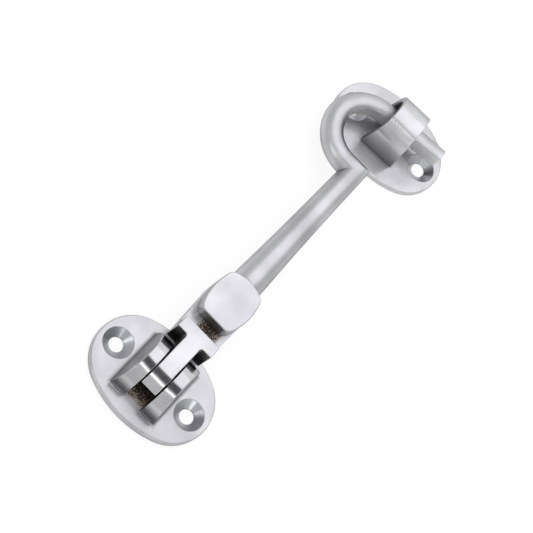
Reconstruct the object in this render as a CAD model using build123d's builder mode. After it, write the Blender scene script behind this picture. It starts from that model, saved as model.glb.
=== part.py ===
"""Cabin hook: an arm on a two-way hinged base, latched through a staple eye on its own plate."""
import math
import os

from build123d import *

os.makedirs("parts", exist_ok=True)

# Layout: X runs from the base to the eye, Z away from the wall, both plate backs at Z = 0
hook_reach = 110.0           # base centre to eye centre, along the arm
eye_offset = -0.9            # the eye sits this far to the tip's side of the arm's line
eye_turn = 4.0               # the eye plate sits turned a little on its screws

# Screw plates, one outline for the base and the eye
plate_length = 39.0
plate_width = 28.5
plate_end_radius = 13.0
plate_thickness = 2.2
plate_edge_round = 0.5
screw_spacing = 27.0
screw_hole_diameter = 4.2
countersink_diameter = 9.0
countersink_angle = 100.0

# Base ears and the pin through them
ear_radius = 9.6
ear_top = 13.0
ear_foot_width = 16.4        # across both ears at the plate
ear_top_width = 12.8         # across both ears at the crown
ear_edge_round = 0.2
slot_width = 6.0
base_pin_height = 8.5
base_pin_diameter = 4.0
base_pin_blind_end = 5.2     # how far the pin reaches past the middle into the far ear

# Link between base and arm
tongue_width = 5.2
tongue_nose_angle = 45.0     # where the rounded nose of the tongue is cut off
tongue_eye_radius = 4.6
link_top = 12.9
bar_near = 11.1              # faces of the cross bar, along X
bar_far = 15.0
bar_width = 12.3
bar_corner_round = 0.8
link_edge_round = 0.3
lap_height = 8.4             # the arm's head laps over the link's lug at this height

# Arm: head, tapered shank, hook
swing_pin_x = 27.9
swing_pin_diameter = 4.0
swing_pin_head_diameter = 6.0
swing_pin_cover = 1.0        # metal left over the pin in the arm's head
head_near = 8.1              # head reach from the pin towards the base
head_far = 7.95              # and towards the hook
head_half_width = 6.7
head_side_radius = 19.0
head_corner_x = 6.3          # where the sides meet the rounded far end
head_corner_radius = 2.6
head_edge_round = 0.35
arm_height = 8.0
shank_stations = (           # share of the way from the swing pin to the elbow, and radius there
    (0.0844, 4.8), (0.1407, 4.75), (0.2997, 4.42), (0.4652, 4.1), (0.6308, 3.88), (0.8295, 3.7),
)
elbow_setback = 21.7         # the elbow stops this far short of the eye's centre
elbow_radius = 3.6
elbow_round = 1.4            # rounding of the mitred corner
bend_radius = 11.25
bend_start = 3.9             # straight leg between the elbow and the bend
tip_radius = 3.05
tip_splay = 8.0              # the tip leans away from the base by this angle
tip_length = 21.4
flat_radius = 8.4            # inner flat of the bend and tip
flat_shift = 0.45
flat_splay = 10.5

# Staple band of the eye
band_outer_radius = 7.65
band_thickness = 2.0
band_crown_centre = 10.1
band_foot_width = 12.2
band_crown_width = 9.3
band_taper_top = 16.2

# Clearances
running_clearance = 0.05     # radial, round the pins
lap_gap = 0.1                # between the lapped faces
nose_clearance = 0.3         # under the swinging nose of the tongue
shoulder_clearance = 0.4     # between the lug's round end and the arm's shoulder
blind_clearance = 0.1        # past the end of a pin in a blind hole
root = 1.0                   # how deep a raised form is rooted in its plate

# Derived sizes
ear_centre_height = ear_top - ear_radius
base_pin_radius = base_pin_diameter / 2
swing_pin_radius = swing_pin_diameter / 2
swing_pin_head_radius = swing_pin_head_diameter / 2
swing_pin_head_height = swing_pin_head_radius - swing_pin_radius
link_bottom = base_pin_height - tongue_eye_radius
nose_radius = link_top - ear_centre_height
nose_x = -nose_radius * math.sin(math.radians(tongue_nose_angle))
nose_z = ear_centre_height + nose_radius * math.cos(math.radians(tongue_nose_angle))
nose_reach = math.hypot(nose_x, nose_z - base_pin_height)
head_bottom = lap_height + lap_gap
elbow_x = hook_reach - elbow_setback
shank_profile = [(swing_pin_x + share * (elbow_x - swing_pin_x), r) for share, r in shank_stations]
shoulder_x = swing_pin_x + head_far + shoulder_clearance
bend_centre_x = elbow_x + bend_radius
swing_pin_top = link_top - swing_pin_cover

eye_frame = Plane(Location((hook_reach, eye_offset, 0), (0, 0, eye_turn)))


def plate_outline(frame):
    """Four-arc oval of a screw plate, long axis across the arm."""
    half_length = plate_length / 2
    half_width = plate_width / 2
    end_centre = half_length - plate_end_radius
    side_radius = half_width**2 - plate_end_radius**2 + end_centre**2
    side_radius = side_radius / (2 * (half_width - plate_end_radius))
    lean = math.atan2(end_centre, side_radius - half_width)
    join_x = plate_end_radius * math.cos(lean)
    join_y = end_centre + plate_end_radius * math.sin(lean)
    with BuildSketch(frame) as outline:
        with BuildLine():
            ThreePointArc((join_x, -join_y), (half_width, 0), (join_x, join_y))
            ThreePointArc((join_x, join_y), (0, half_length), (-join_x, join_y))
            ThreePointArc((-join_x, join_y), (-half_width, 0), (-join_x, -join_y))
            ThreePointArc((-join_x, -join_y), (0, -half_length), (join_x, -join_y))
        make_face()
    return outline.sketch


def cheek_section():
    """Drafted section across both ears, seen along the arm."""
    draft = (ear_foot_width - ear_top_width) / 2 / (ear_top - plate_thickness)
    foot = ear_foot_width / 2 + root * draft
    with BuildSketch(Plane.YZ) as section:
        with BuildLine():
            Polyline(
                (-foot, plate_thickness - root),
                (foot, plate_thickness - root),
                (ear_top_width / 2, ear_top),
                (-ear_top_width / 2, ear_top),
                close=True,
            )
        make_face()
    return section.sketch


def ears():
    """Both ears as one drafted half-round block."""
    with BuildPart() as block:
        with BuildSketch(Plane.XZ):
            with Locations((0, ear_centre_height)):
                Circle(ear_radius)
            with Locations((0, plate_thickness - root)):
                Rectangle(
                    4 * ear_radius, 2 * ear_radius,
                    align=(Align.CENTER, Align.MIN), mode=Mode.INTERSECT,
                )
        extrude(amount=ear_foot_width, both=True)
        extrude(cheek_section(), amount=2 * ear_radius, both=True, mode=Mode.INTERSECT)
        fillet(block.edges().filter_by(GeomType.LINE, reverse=True), ear_edge_round)
    return block.part


def head_block(bottom, top):
    """Rounded-square block with the plan of the arm's head, shared by the lug under it."""
    near_y = head_half_width - head_side_radius + math.sqrt(head_side_radius**2 - head_near**2)
    corner_y = head_half_width - head_side_radius + math.sqrt(head_side_radius**2 - head_corner_x**2)
    with BuildPart() as block:
        with BuildSketch(Plane((swing_pin_x, 0, bottom))):
            with BuildLine():
                Line((-head_near, near_y), (-head_near, -near_y))
                ThreePointArc((-head_near, -near_y), (0, -head_half_width), (head_corner_x, -corner_y))
                ThreePointArc((head_corner_x, -corner_y), (head_far, 0), (head_corner_x, corner_y))
                ThreePointArc((head_corner_x, corner_y), (0, head_half_width), (-head_near, near_y))
            make_face()
        extrude(amount=top - bottom)
        fillet(block.edges().filter_by(Axis.Z), head_corner_radius)
    return block.part


with BuildPart() as base_plate:
    extrude(plate_outline(Plane.XY), amount=plate_thickness)
    fillet(base_plate.edges().group_by(Axis.Z)[-1], plate_edge_round)
    add(ears())
    with Locations((0, 0, plate_thickness)):
        Box(
            4 * ear_radius, slot_width, 2 * ear_top,
            align=(Align.CENTER, Align.CENTER, Align.MIN), mode=Mode.SUBTRACT,
        )
    with BuildSketch(Plane.XZ):
        with Locations((0, base_pin_height)):
            Circle(nose_reach + nose_clearance)
    extrude(amount=slot_width / 2, both=True, mode=Mode.SUBTRACT)
    with BuildSketch(Plane.XZ.offset(-base_pin_blind_end - blind_clearance)):
        with Locations((0, base_pin_height)):
            Circle(base_pin_radius)
    extrude(amount=ear_foot_width, mode=Mode.SUBTRACT)
    with Locations((0, -screw_spacing / 2, plate_thickness), (0, screw_spacing / 2, plate_thickness)):
        CounterSinkHole(
            screw_hole_diameter / 2, countersink_diameter / 2, counter_sink_angle=countersink_angle,
        )
base_plate.part.label = "base_plate"

with BuildPart() as base_pin:
    with BuildSketch(Plane.XZ.offset(-base_pin_blind_end)):
        with Locations((0, base_pin_height)):
            Circle(base_pin_radius)
    extrude(amount=ear_foot_width)
    extrude(cheek_section(), amount=2 * ear_radius, both=True, mode=Mode.INTERSECT)
base_pin.part.label = "base_pin"

with BuildPart() as link:
    tangent = math.atan2(nose_z - base_pin_height, nose_x) + math.acos(tongue_eye_radius / nose_reach)
    heel_x = tongue_eye_radius * math.cos(tangent)
    heel_z = base_pin_height + tongue_eye_radius * math.sin(tangent)
    heel_mid = (tangent + 1.5 * math.pi) / 2
    crown_mid = math.radians(tongue_nose_angle / 2)
    with BuildSketch(Plane.XZ):
        with BuildLine():
            ThreePointArc(
                (0, link_top),
                (-nose_radius * math.sin(crown_mid), ear_centre_height + nose_radius * math.cos(crown_mid)),
                (nose_x, nose_z),
            )
            Line((nose_x, nose_z), (heel_x, heel_z))
            ThreePointArc(
                (heel_x, heel_z),
                (
                    tongue_eye_radius * math.cos(heel_mid),
                    base_pin_height + tongue_eye_radius * math.sin(heel_mid),
                ),
                (0, link_bottom),
            )
            Polyline((0, link_bottom), (bar_far, link_bottom), (bar_far, link_top), (0, link_top))
        make_face()
    extrude(amount=tongue_width / 2, both=True)
    with BuildSketch(Plane.XY.offset(link_bottom)):
        with Locations(((bar_near + bar_far) / 2, 0)):
            Rectangle(bar_far - bar_near, bar_width)
    extrude(amount=link_top - link_bottom)
    upright_edges = link.edges().filter_by(Axis.Z)
    bar_corners = upright_edges.filter_by_position(Axis.X, bar_near - 0.1, bar_near + 0.1)
    fillet(bar_corners.filter_by_position(Axis.Y, -tongue_width, tongue_width), bar_corner_round)
    crown_edges = link.faces().filter_by(Axis.Z).sort_by(Axis.Z)[-1].edges()
    fillet(crown_edges.filter_by_position(Axis.X, bar_near / 4, 2 * bar_far), link_edge_round)
    with BuildSketch(Plane.XY.offset(link_bottom)):
        with BuildLine():
            Polyline(
                (bar_near + bar_corner_round, bar_width / 2),
                (bar_near + bar_corner_round, -bar_width / 2),
                (swing_pin_x, -head_half_width),
                (swing_pin_x, head_half_width),
                close=True,
            )
        make_face()
    extrude(amount=lap_height - link_bottom)
    add(head_block(link_bottom, lap_height))
    with BuildSketch(Plane.XZ):
        with Locations((0, base_pin_height)):
            Circle(base_pin_radius + running_clearance)
    extrude(amount=tongue_width, both=True, mode=Mode.SUBTRACT)
    with BuildSketch(Plane.XY):
        with Locations((swing_pin_x, 0)):
            Circle(swing_pin_radius + running_clearance)
    extrude(amount=ear_top, mode=Mode.SUBTRACT)
    with Locations((swing_pin_x, 0, link_bottom)):
        Cone(
            swing_pin_head_radius + running_clearance, swing_pin_radius + running_clearance,
            swing_pin_head_height, align=(Align.CENTER, Align.CENTER, Align.MIN), mode=Mode.SUBTRACT,
        )
link.part.label = "link"

with BuildPart() as link_pin:
    with Locations((swing_pin_x, 0, link_bottom)):
        Cone(
            swing_pin_head_radius, swing_pin_radius, swing_pin_head_height,
            align=(Align.CENTER, Align.CENTER, Align.MIN),
        )
        Cylinder(
            swing_pin_radius, swing_pin_top - link_bottom,
            align=(Align.CENTER, Align.CENTER, Align.MIN),
        )
link_pin.part.label = "link_pin"

with BuildPart() as hook_arm:
    # Shank turned about its own axis, mitred where the leg of the hook leaves it
    shank_axis = Axis((0, 0, arm_height), (1, 0, 0))
    shank_start, shank_start_radius = shank_profile[0]
    shank_end = elbow_x + 2 * elbow_radius
    with BuildSketch(Plane.XZ):
        with BuildLine():
            Spline(
                *[(x, arm_height + r) for x, r in shank_profile],
                (elbow_x, arm_height + elbow_radius),
                tangents=[(10.0, -0.1), (1.0, 0.0)],
            )
            Polyline(
                (elbow_x, arm_height + elbow_radius),
                (shank_end, arm_height + elbow_radius),
                (shank_end, arm_height),
                (shank_start, arm_height),
                (shank_start, arm_height + shank_start_radius),
            )
        make_face()
    revolve(axis=shank_axis)
    with BuildSketch(Plane.XY):
        with BuildLine():
            Polyline(
                (elbow_x - 2 * elbow_radius, 2 * elbow_radius),
                (elbow_x + 2 * elbow_radius, -2 * elbow_radius),
                (elbow_x + 4 * elbow_radius, 0),
                (elbow_x, 4 * elbow_radius),
                close=True,
            )
        make_face()
    extrude(amount=2 * ear_top, mode=Mode.SUBTRACT)
    # The shank's lower half stops at a shoulder clear of the link's lug
    with BuildSketch(Plane.XY):
        with Locations((shoulder_x, 0)):
            Rectangle(4 * head_near, 4 * head_half_width, align=(Align.MAX, Align.CENTER))
    extrude(amount=head_bottom, mode=Mode.SUBTRACT)
    with BuildPart(mode=Mode.PRIVATE) as head:
        add(head_block(head_bottom, link_top))
        fillet(head.edges().group_by(Axis.Z)[-1], head_edge_round)
    add(head.part)
    # Leg, bend and tip of the hook
    splay = math.radians(tip_splay)
    bend_end = (
        bend_centre_x + bend_radius * math.cos(splay),
        bend_start + bend_radius * math.sin(splay),
        arm_height,
    )
    tip_end = (
        bend_end[0] + tip_length * math.sin(splay),
        bend_end[1] - tip_length * math.cos(splay),
        arm_height,
    )
    with BuildLine() as hook_path:
        Line((elbow_x, -2 * elbow_radius, arm_height), (elbow_x, bend_start, arm_height))
        ThreePointArc(
            (elbow_x, bend_start, arm_height),
            (bend_centre_x, bend_start + bend_radius, arm_height),
            bend_end,
        )
        Line(bend_end, tip_end)
    with BuildPart(mode=Mode.PRIVATE) as hook:
        with BuildSketch(Plane((elbow_x, -2 * elbow_radius, arm_height), (1, 0, 0), (0, 1, 0))):
            Circle(elbow_radius)
        tip_across = (math.cos(splay), math.sin(splay), 0)
        tip_along = (math.sin(splay), -math.cos(splay), 0)
        with BuildSketch(Plane(tip_end, tip_across, tip_along)):
            Circle(tip_radius)
        sweep(path=hook_path.line, multisection=True)
        with BuildSketch(Plane.XY):
            with BuildLine():
                Polyline(
                    (elbow_x - 2 * elbow_radius, 2 * elbow_radius),
                    (elbow_x + 2 * elbow_radius, -2 * elbow_radius),
                    (elbow_x + 2 * elbow_radius, -6 * elbow_radius),
                    (elbow_x - 2 * elbow_radius, -6 * elbow_radius),
                    close=True,
                )
            make_face()
        extrude(amount=2 * ear_top, mode=Mode.SUBTRACT)
        # Flat along the inside of the bend and tip
        flat_angle = math.radians(flat_splay)
        flat_centre_x = bend_centre_x + flat_shift
        flat_start = (
            flat_centre_x + flat_radius * math.cos(flat_angle),
            bend_start + flat_radius * math.sin(flat_angle),
        )
        flat_length = tip_length + bend_radius
        flat_end = (
            flat_start[0] + flat_length * math.sin(flat_angle),
            flat_start[1] - flat_length * math.cos(flat_angle),
        )
        with BuildSketch(Plane.XY):
            with Locations((flat_centre_x, bend_start)):
                Circle(flat_radius)
            with BuildLine():
                Polyline(
                    flat_start, flat_end, (flat_centre_x, flat_end[1]), (flat_centre_x, bend_start),
                    close=True,
                )
            make_face()
        extrude(amount=2 * ear_top, mode=Mode.SUBTRACT)
    add(hook.part)
    with BuildSketch(Plane.XY):
        with Locations((elbow_x + elbow_radius, -elbow_radius)):
            Rectangle(elbow_round, elbow_round, align=(Align.MAX, Align.MIN))
        with Locations((elbow_x + elbow_radius - elbow_round, elbow_round - elbow_radius)):
            Circle(elbow_round, mode=Mode.SUBTRACT)
    extrude(amount=2 * ear_top, mode=Mode.SUBTRACT)
    with BuildSketch(Plane.XY):
        with Locations((swing_pin_x, 0)):
            Circle(swing_pin_radius)
    extrude(amount=swing_pin_top + blind_clearance, mode=Mode.SUBTRACT)
hook_arm.part.label = "hook_arm"

with BuildPart() as eye_plate:
    extrude(plate_outline(eye_frame), amount=plate_thickness)
    fillet(eye_plate.edges().group_by(Axis.Z)[-1], plate_edge_round)
    with BuildPart(mode=Mode.PRIVATE) as band:
        side_view = Plane(eye_frame.origin, x_dir=eye_frame.x_dir, z_dir=-eye_frame.y_dir)
        with BuildSketch(side_view):
            for radius, mode in (
                (band_outer_radius, Mode.ADD),
                (band_outer_radius - band_thickness, Mode.SUBTRACT),
            ):
                with Locations((0, band_crown_centre)):
                    Circle(radius, mode=mode)
                with Locations((0, plate_thickness - root)):
                    Rectangle(
                        2 * radius, band_crown_centre - plate_thickness + root,
                        align=(Align.CENTER, Align.MIN), mode=mode,
                    )
        extrude(amount=band_foot_width, both=True)
        front_view = Plane(eye_frame.origin, x_dir=eye_frame.y_dir, z_dir=eye_frame.x_dir)
        with BuildSketch(front_view):
            with BuildLine():
                Polyline(
                    (-band_foot_width / 2, 0),
                    (band_foot_width / 2, 0),
                    (band_foot_width / 2, plate_thickness),
                    (band_crown_width / 2, band_taper_top),
                    (band_crown_width / 2, 2 * band_taper_top),
                    (-band_crown_width / 2, 2 * band_taper_top),
                    (-band_crown_width / 2, band_taper_top),
                    (-band_foot_width / 2, plate_thickness),
                    close=True,
                )
            make_face()
        extrude(amount=2 * band_outer_radius, both=True, mode=Mode.INTERSECT)
    add(band.part)
    with Locations(eye_frame * Location((0, 0, plate_thickness))):
        with Locations((0, -screw_spacing / 2), (0, screw_spacing / 2)):
            CounterSinkHole(
                screw_hole_diameter / 2, countersink_diameter / 2, counter_sink_angle=countersink_angle,
            )
eye_plate.part.label = "eye_plate"

export_step(base_plate.part, "parts/base_plate.step")
export_step(base_pin.part, "parts/base_pin.step")
export_step(link.part, "parts/link.step")
export_step(link_pin.part, "parts/link_pin.step")
export_step(hook_arm.part, "parts/hook_arm.step")
export_step(eye_plate.part, "parts/eye_plate.step")
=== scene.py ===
"""Cabin hook in satin chrome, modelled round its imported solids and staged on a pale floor."""

import math
from collections import namedtuple
from functools import partial

import bmesh
import bpy
from bmesh.types import BMEdge, BMFace, BMVert
from bpy.props import FloatProperty, FloatVectorProperty, PointerProperty
from mathutils import Matrix, Vector


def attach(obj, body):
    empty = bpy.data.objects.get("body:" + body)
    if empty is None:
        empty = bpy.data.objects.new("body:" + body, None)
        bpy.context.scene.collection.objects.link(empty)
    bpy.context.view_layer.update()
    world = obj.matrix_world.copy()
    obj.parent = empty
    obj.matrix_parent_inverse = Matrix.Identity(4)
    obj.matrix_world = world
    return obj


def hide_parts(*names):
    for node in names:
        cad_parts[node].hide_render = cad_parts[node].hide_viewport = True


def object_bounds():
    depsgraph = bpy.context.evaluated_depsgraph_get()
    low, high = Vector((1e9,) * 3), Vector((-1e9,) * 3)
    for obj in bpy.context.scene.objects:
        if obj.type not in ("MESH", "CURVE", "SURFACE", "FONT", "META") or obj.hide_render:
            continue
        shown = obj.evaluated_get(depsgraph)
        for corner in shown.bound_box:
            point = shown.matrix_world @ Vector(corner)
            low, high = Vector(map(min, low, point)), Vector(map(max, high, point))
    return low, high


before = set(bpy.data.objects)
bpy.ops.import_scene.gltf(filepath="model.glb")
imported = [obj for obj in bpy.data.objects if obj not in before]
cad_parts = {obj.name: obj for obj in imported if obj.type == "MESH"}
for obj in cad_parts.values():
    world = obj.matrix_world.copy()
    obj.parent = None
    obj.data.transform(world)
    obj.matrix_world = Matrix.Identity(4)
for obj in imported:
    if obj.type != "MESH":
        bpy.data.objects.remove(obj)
cad_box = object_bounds()

bl_info = {
    "name": "Cabin Hook",
    "version": (1, 0, 0),
    "blender": (4, 5, 0),
    "location": "View3D > Sidebar > Cabin Hook",
    "description": "Models a cabin hook round its packed solids and sets it on a studio floor",
    "category": "Object",
}

MM = 0.001
MERGE = 0.002 * MM           # vertices nearer than this are one
APART = 10 * MERGE           # how far two surfaces that would share a plane are kept apart
HAIR = 0.01 * MM             # a face within this of a level lies on it
NEAR = 0.05 * MM             # the same for forms that are less exact
ROOT = 1.0 * MM              # how deep a raised form is rooted in what carries it
OVER = 1.0 * MM              # how far a cutting shape passes the metal it cuts
CLEAR = 20.0 * MM            # a height and a half width that no form on the plates reaches
BLANK = 15.0 * MM            # height that the link's blank is trimmed from
SHARP = math.radians(30.0)   # edges bent by more than this are softened
LEANING = 0.7                # a normal with more than this along an axis leans towards it
FACING = 0.9                 # a normal with more than this along an axis faces along it
SQUARE = 0.01                # a normal with less than this along an axis lies square to it
SENSOR = 36.0                # width of the camera's sensor, in millimetres
AXIS_X = Vector((1.0, 0.0, 0.0))
AXIS_Y = Vector((0.0, 1.0, 0.0))
AXIS_Z = Vector((0.0, 0.0, 1.0))
MIX_FACTOR, MIX_A, MIX_B, MIX_RESULT = 0, 6, 7, 2    # colour sockets of a Mix node

Arc = namedtuple("Arc", "centre end steps axis", defaults=(AXIS_Z,))


def hex_colour(code):
    """An sRGB hex value as a linear colour."""
    shares = [int(code[i:i + 2], 16) / 255.0 for i in (1, 3, 5)]
    linear = [s / 12.92 if s <= 0.04045 else ((s + 0.055) / 1.055) ** 2.4 for s in shares]
    return (*linear, 1.0)


def scaled(colour, amount):
    """A colour made lighter or darker."""
    return (*[amount * c for c in colour[:3]], 1.0)


def size(name, millimetres, description):
    """A length that a user may change."""
    return FloatProperty(
        name=name, description=description, default=millimetres * MM, precision=5,
        subtype="DISTANCE", unit="LENGTH",
    )


def angle(name, degrees, description):
    """An angle that a user may change."""
    return FloatProperty(
        name=name, description=description, default=math.radians(degrees),
        subtype="ANGLE", unit="ROTATION",
    )


def share(name, default, description):
    """A plain number that a user may change."""
    return FloatProperty(
        name=name, description=description, default=default, min=0.0, subtype="FACTOR",
    )


def tint(name, code, description):
    """A colour that a user may change, from its sRGB hex value."""
    return FloatVectorProperty(
        name=name, description=description, default=hex_colour(code), size=4, min=0.0, max=1.0,
        subtype="COLOR",
    )


def point(name, metres, description):
    """A place that a user may change."""
    return FloatVectorProperty(
        name=name, description=description, default=metres, subtype="TRANSLATION", unit="LENGTH",
    )


def area(name, metres, description):
    """The two sides of a rectangle that a user may change."""
    return FloatVectorProperty(
        name=name, description=description, default=metres, size=2, unit="LENGTH",
    )


class CabinHookPlates(bpy.types.PropertyGroup):
    """Sizes that both screw plates share, and where the eye's plate lies."""
    length: size("Length", 39.0, "Long axis of the oval, across the arm")
    width: size("Width", 28.5, "Short axis of the oval, along the arm")
    end_radius: size("End radius", 13.0, "Radius of the oval's two ends")
    thickness: size("Thickness", 2.2, "From the back of the plate to its face")
    edge_round: size("Edge round", 0.5, "Rounding of the front edge")
    back_round: size("Back edge round", 0.2, "Rounding of the edge against the wall")
    screw_spacing: size("Screw spacing", 27.0, "Between the two screw holes")
    hole: size("Screw hole", 4.2, "Diameter of a screw hole")
    countersink: size("Countersink", 9.0, "Diameter of a countersink at the face")
    countersink_angle: angle("Countersink angle", 100.0, "Between a countersink's two sides")
    eye_reach: size("Reach", 110.0, "From the base's centre to the eye's, along the arm")
    eye_offset: size("Eye offset", -0.9, "How far the eye lies from the arm's line")
    eye_turn: angle("Eye turn", 4.0, "How far the eye's plate is turned on its screws")


class CabinHookEars(bpy.types.PropertyGroup):
    """Sizes of the base's two ears and of the pin through them."""
    radius: size("Radius", 9.6, "Radius of the half-round ears")
    top: size("Height", 13.0, "From the wall to the ears' crown")
    foot_width: size("Foot width", 16.4, "Across both ears at the plate")
    top_width: size("Crown width", 12.8, "Across both ears at the crown")
    edge_round: size("Edge round", 0.2, "Rounding of the crown's outer edges")
    foot_round: size("Foot round", 0.75, "Hollow rounding between the ears' cheeks and the plate")
    foot_buffed: share("Foot buffed", 0.6, "How far up the foot looks where it is buffed")
    slot: size("Slot", 6.0, "Width of the slot between the ears")
    slot_floor: size("Slot floor", 0.12, "How far the slot's floor lies under the plate's face")
    pin_height: size("Pin height", 8.5, "From the wall to the pin's axis")
    pin: size("Pin", 4.0, "Diameter of the pin")
    pin_end: size("Pin end", 5.3, "Depth of the pin's hole past the middle")


class CabinHookLink(bpy.types.PropertyGroup):
    """Sizes of the link between base and arm."""
    tongue: size("Tongue", 5.2, "Width of the tongue between the ears")
    nose_angle: angle("Nose", 45.0, "Where the rounded nose is cut off")
    eye_radius: size("Eye radius", 4.6, "Metal round the base pin")
    top: size("Height", 12.9, "From the wall to the link's top")
    bar_near: size("Bar, near face", 11.1, "From the base pin to the cross bar")
    bar_far: size("Bar, far face", 15.0, "From the base pin to the bar's other face")
    bar_width: size("Bar width", 12.3, "Length of the cross bar, across the arm")
    bar_round: size("Notch round", 0.8, "Rounding in the notches beside the tongue")
    lap: size("Lap height", 8.4, "Top of the lug under the arm's head")
    edge_round: size("Edge round", 0.2, "Rounding of the link's polished edges")
    play: size("Play", 0.05, "Radial clearance round the pins")
    nose_play: size("Nose play", 0.3, "Room under the swinging nose")


class CabinHookArm(bpy.types.PropertyGroup):
    """Sizes of the arm's head, shank and hook."""
    pin_x: size("Swing pin", 27.9, "From the base pin to the swing pin")
    pin: size("Pin", 4.0, "Diameter of the swing pin")
    pin_head: size("Pin head", 6.0, "Diameter of the pin's countersunk head")
    pin_hole_top: size("Pin hole", 12.0, "Height at which the pin's blind hole ends")
    near: size("Head, near end", 8.1, "From the pin to the head's flat end")
    far: size("Head, far end", 7.95, "From the pin to the head's rounded end")
    half_width: size("Head half width", 6.7, "From the arm's line to the head's side")
    side_radius: size("Head side", 19.0, "Radius of the head's bowed sides")
    corner_x: size("Head corner", 6.3, "From the pin to where side and end would meet")
    corner_radius: size("Corner radius", 2.6, "Rounding of the head's corners")
    edge_round: size("Head edge", 0.4, "Rounding of the head's top edge")
    bottom: size("Head underside", 8.5, "From the wall to the head's underside")
    height: size("Axis height", 8.0, "From the wall to the arm's axis")
    shoulder: size("Shoulder", 36.25, "Where the shank's lower half begins")
    elbow_x: size("Elbow", 88.3, "From the base pin to the elbow")
    elbow_radius: size("Elbow radius", 3.6, "Radius of the shank at the elbow")
    elbow_round: size("Elbow corner", 1.4, "Rounding of the elbow's outer corner")
    leg_radius: size("Leg radius", 3.51, "Radius where the bend begins")
    bend_radius: size("Bend radius", 11.25, "Radius of the hook's centre line")
    bend_start: size("Leg", 3.9, "Straight leg between the elbow and the bend")
    tip_radius: size("Tip radius", 3.05, "Radius at the hook's tip")
    tip_length: size("Tip length", 21.4, "Straight run after the bend")
    tip_splay: angle("Tip splay", 8.0, "How far the tip leans away from the base")
    flat_radius: size("Flat radius", 8.4, "Radius of the flat inside the bend")
    flat_shift: size("Flat shift", 0.45, "How far the flat's centre lies past the bend's")
    flat_splay: angle("Flat splay", 10.5, "How far the flat along the tip leans")


class CabinHookBand(bpy.types.PropertyGroup):
    """Sizes of the eye's staple band."""
    outer_radius: size("Outer radius", 7.65, "Radius of the band's outside")
    thickness: size("Thickness", 2.0, "Thickness of the band")
    crown_centre: size("Crown centre", 10.1, "Height at which the legs turn into the crown")
    foot_width: size("Foot width", 12.2, "Width of the band at the plate")
    crown_width: size("Crown width", 9.3, "Width of the band over the crown")
    taper_top: size("Taper top", 16.2, "Height at which the taper ends")
    edge_round: size("Edge round", 0.25, "Rounding of the band's long edges")


class CabinHookFinish(bpy.types.PropertyGroup):
    """Colours and gloss of the finishes."""
    chrome_light: tint("Chrome, light", "#D4D4D6", "Satin chrome where it is buffed brightest")
    chrome_deep: tint("Chrome, deep", "#BEBEC0", "Satin chrome where the grain lies deeper")
    arm_light: tint("Arm, light", "#CCCCCE", "Shank and hook where they are buffed brightest")
    arm_deep: tint("Arm, deep", "#B4B4B6", "Shank and hook where the grain lies deeper")
    plate_light: tint("Plate, light", "#C8C8CA", "Plates where they are buffed brightest")
    plate_deep: tint("Plate, deep", "#AEAEB0", "Plates where the grain lies deeper")
    # Painted shade: the dark chrome that inner corners, the feet of raised forms and faces into
    # gaps are darkened to
    chrome_shade: tint("Chrome, dull", "#5E5E60", "Chrome in corners where no buff reaches")
    # Painted reflection: a near-white tone that makes the flat inside the hook look as if it
    # mirrors bright surroundings
    ground_flat_sheen: tint("Chrome, ground", "#ECEDEA", "Chrome over the ground flat inside the hook")
    chrome_edge: tint("Chrome, edge on", "#BBBBC0", "How chrome darkens where it is seen edge on")
    plate_rough: share("Plate roughness", 0.24, "Roughness of the flat plates")
    crown_rough: share("Crown roughness", 0.15, "Roughness of the ears' crowns and the link")
    staple_rough: share("Staple roughness", 0.28, "Roughness of the staple")
    plate_metal: share("Plate metal", 0.68, "Share of the plates' light that is not scattered")
    arm_rough: share("Arm roughness", 0.36, "Roughness of the arm and the ears' cheeks")
    flat_rough: share("Flat roughness", 0.6, "Roughness of the ground flat inside the hook")
    cut_chrome: tint("Cut chrome", "#C4C5CA", "Turned metal of the countersinks")
    # Oxide in the cast skin's hollows, and also the painted shade at the bottom of faces into gaps
    cast_oxide_and_shade: tint("Casting, deep", "#0E0A08", "Oxide in the hollows of the cast skin")
    cast_mid: tint("Casting, middle", "#55443A", "Cast brass under its thin plate")
    cast_light: tint("Casting, light", "#C5B2A8", "Bright crests of the cast skin")
    steel: tint("Pin steel", "#A2A2A6", "Drawn steel of the pins")
    edge_round: size("Polished edges", 0.15, "Rounding that polishing leaves on an edge")


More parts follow.
